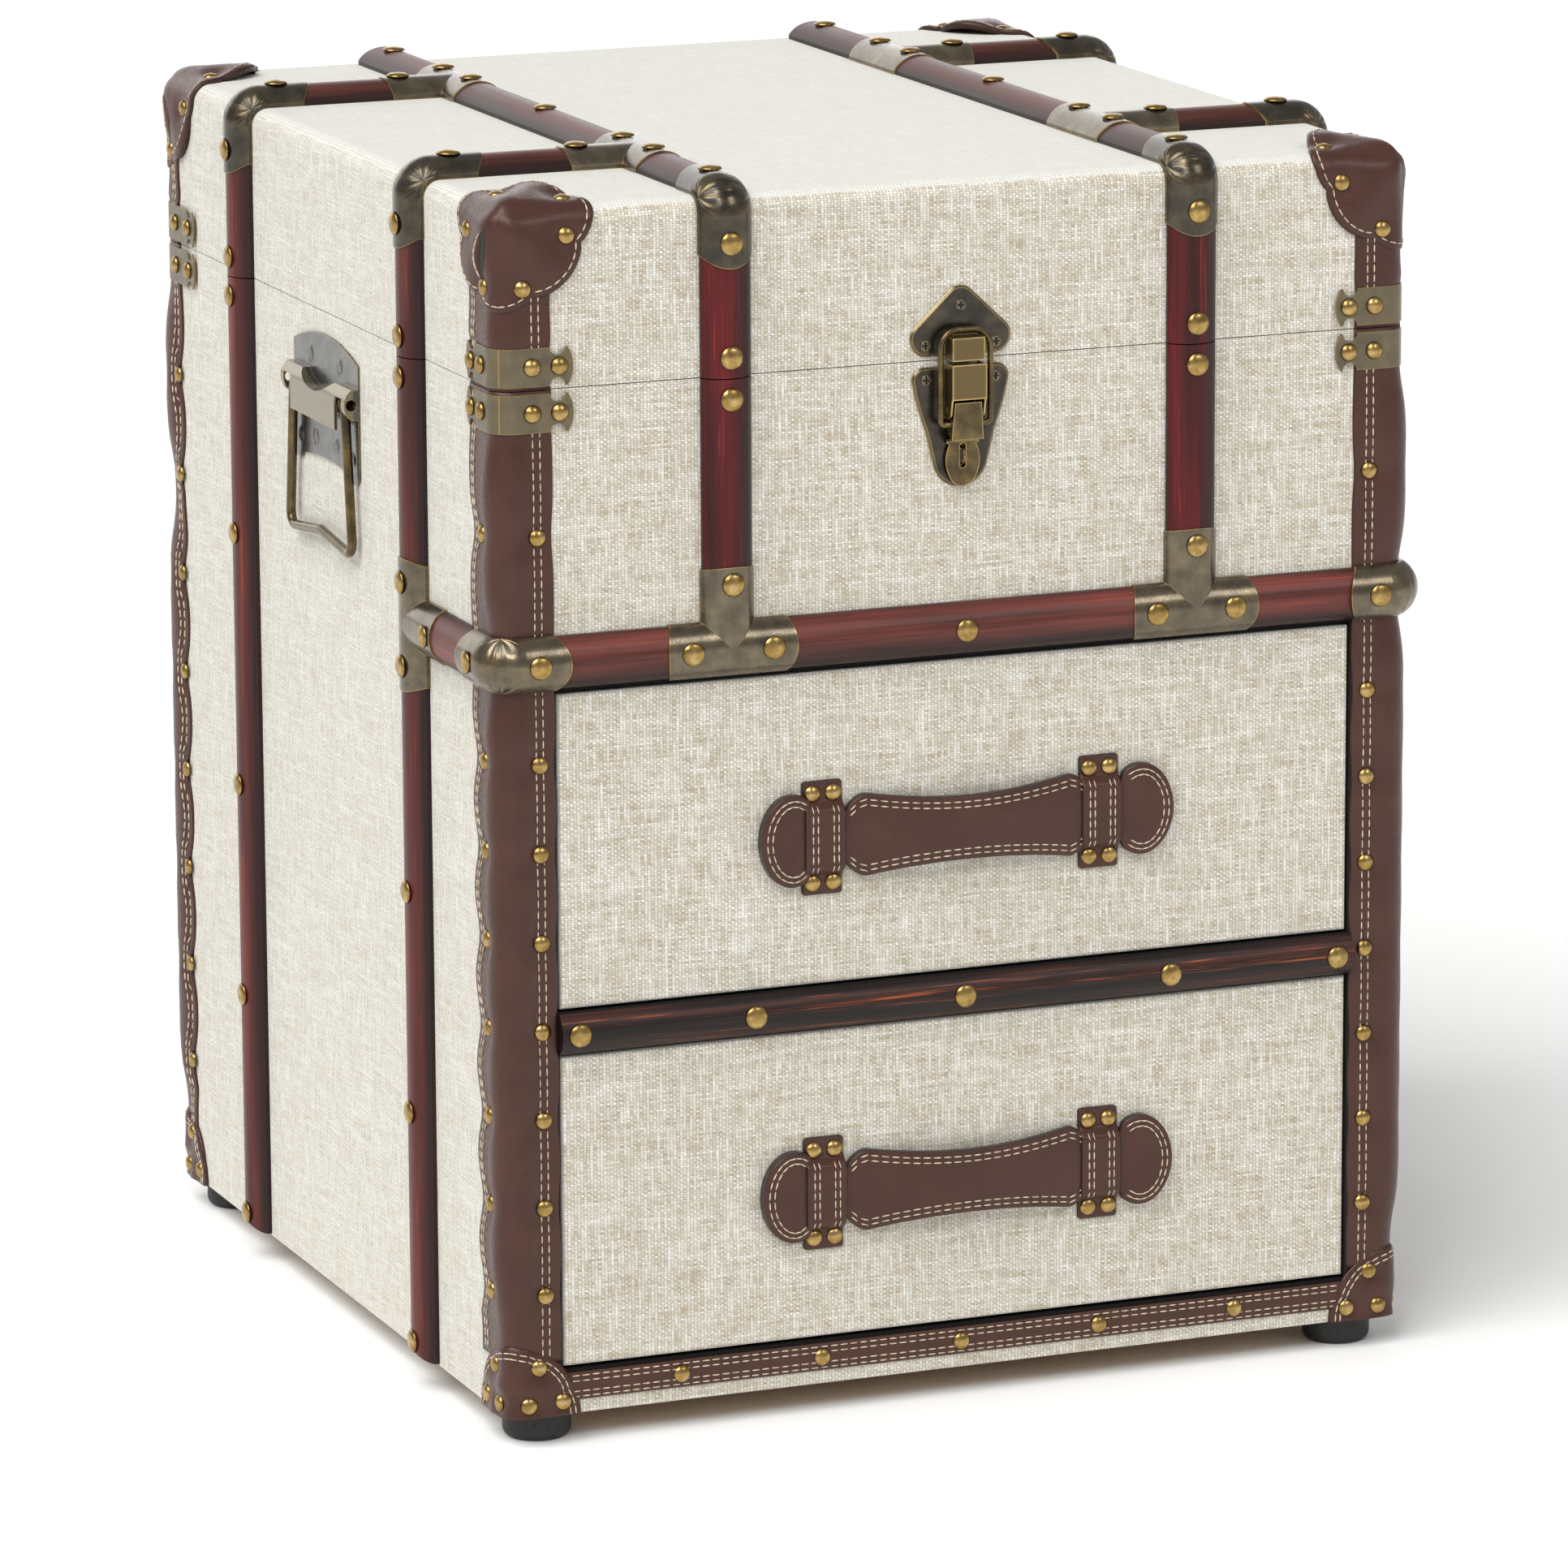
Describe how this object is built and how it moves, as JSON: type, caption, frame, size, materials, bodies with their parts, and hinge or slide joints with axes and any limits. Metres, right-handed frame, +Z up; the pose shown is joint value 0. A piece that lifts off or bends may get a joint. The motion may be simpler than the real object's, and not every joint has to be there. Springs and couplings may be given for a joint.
{
  "type": "trunk chest",
  "caption": "Linen-covered trunk chest with leather corners, wooden battens, a hinged lid with a draw latch, side bail handles, and drawers with leather pulls.",
  "frame": {"origin": "on the floor, under the centre of the bounding box", "axes": "+Z up, front with the drawers towards -Y, +X to the right when facing the front"},
  "size_m": [0.4742, 0.4922, 0.5855],
  "materials": {
    "linen_board": "cream linen cloth glued over plywood panels",
    "bare_wood": "plain sanded plywood inside",
    "mahogany": "red-brown half-round batten, satin lacquer",
    "dark_wood": "near-black stained half-round rail, rubbed edges",
    "leather": "dark brown grained leather with stitched edges",
    "aged_bronze": "dark olive-bronze stampings with rubbed golden edges",
    "stud_brass": "aged golden domed heads",
    "foot_black": "black lacquered turned feet"
  },
  "bodies": {
    "trunk": {"side_panel_left": "linen_board", "side_panel_right": "linen_board", "back_panel": "linen_board", "front_panel_upper": "linen_board", "front_stiles": "linen_board", "bottom_rail": "linen_board", "base_panel": "bare_wood", "drawer_shelf": "bare_wood", "compartment_floor": "bare_wood", "drawer_rail_backing": "bare_wood", "drawer_guides": "bare_wood", "front_slats_lower": "mahogany", "side_slats_lower": "mahogany", "front_rail": "mahogany", "side_rails": "mahogany", "drawer_rail": "dark_wood", "leather_corner_strips": "leather", "leather_bottom_corners": "leather", "leather_bottom_band": "leather", "corner_straps_lower": "aged_bronze", "rail_corner_brackets": "aged_bronze", "rail_tee_brackets": "aged_bronze", "latch_plate": "aged_bronze", "latch_pin": "aged_bronze", "handle_plates": "aged_bronze", "hinge_leaves_lower": "aged_bronze", "hinge_pins": "aged_bronze", "body_studs": "stud_brass", "body_screws": "stud_brass", "feet": "foot_black"},
    "lid": {"lid_top": "linen_board", "lid_front": "linen_board", "lid_back": "linen_board", "lid_sides": "linen_board", "lid_leather_strips": "leather", "lid_leather_corners": "leather", "corner_straps_upper": "aged_bronze", "lid_long_slats": "mahogany", "lid_cross_slats": "mahogany", "lid_front_slats": "mahogany", "lid_side_slats": "mahogany", "lid_elbow_brackets": "aged_bronze", "lid_tee_brackets": "aged_bronze", "lid_studs": "stud_brass", "latch_keeper": "aged_bronze", "lid_screws": "stud_brass", "hinge_leaves_upper": "aged_bronze"},
    "upper_drawer": {"upper_drawer_front": "linen_board", "upper_drawer_box": "bare_wood", "upper_drawer_pull": "leather", "upper_drawer_studs": "stud_brass"},
    "lower_drawer": {"lower_drawer_front": "linen_board", "lower_drawer_box": "bare_wood", "lower_drawer_pull": "leather", "lower_drawer_studs": "stud_brass"},
    "handle_left": {"handle_bail_left": "aged_bronze"},
    "handle_right": {"handle_bail_right": "aged_bronze"},
    "lever": {"latch_lever": "aged_bronze"},
    "bail": {"latch_bail": "aged_bronze"}
  },
  "joints": [
    {"name": "lid_hinge", "type": "hinge", "parent": "trunk", "child": "lid", "pos_m": [0, 0.2437, 0.4915], "axis": [-1, 0, 0], "range_deg": [0, 100]},
    {"name": "upper_drawer_slide", "type": "slide", "parent": "trunk", "child": "upper_drawer", "axis": [0, -1, 0], "range_m": [0, 0.3]},
    {"name": "lower_drawer_slide", "type": "slide", "parent": "trunk", "child": "lower_drawer", "axis": [0, -1, 0], "range_m": [0, 0.3]},
    {"name": "left_handle_hinge", "type": "hinge", "parent": "trunk", "child": "handle_left", "pos_m": [-0.2286, 0, 0.455], "axis": [0, 1, 0], "range_deg": [0, 90]},
    {"name": "right_handle_hinge", "type": "hinge", "parent": "trunk", "child": "handle_right", "pos_m": [0.2286, 0, 0.455], "axis": [0, -1, 0], "range_deg": [0, 90]},
    {"name": "latch_lever_hinge", "type": "hinge", "parent": "trunk", "child": "lever", "pos_m": [0, -0.239, 0.469], "axis": [-1, 0, 0], "range_deg": [0, 95]},
    {"name": "latch_bail_hinge", "type": "hinge", "parent": "lever", "child": "bail", "pos_m": [0, -0.24, 0.4625], "axis": [-1, 0, 0], "range_deg": [-114, 0]}
  ],
  "couplings": [
    {"joint": "latch_bail_hinge", "follows": "latch_lever_hinge", "ratio": -1.2}
  ]
}
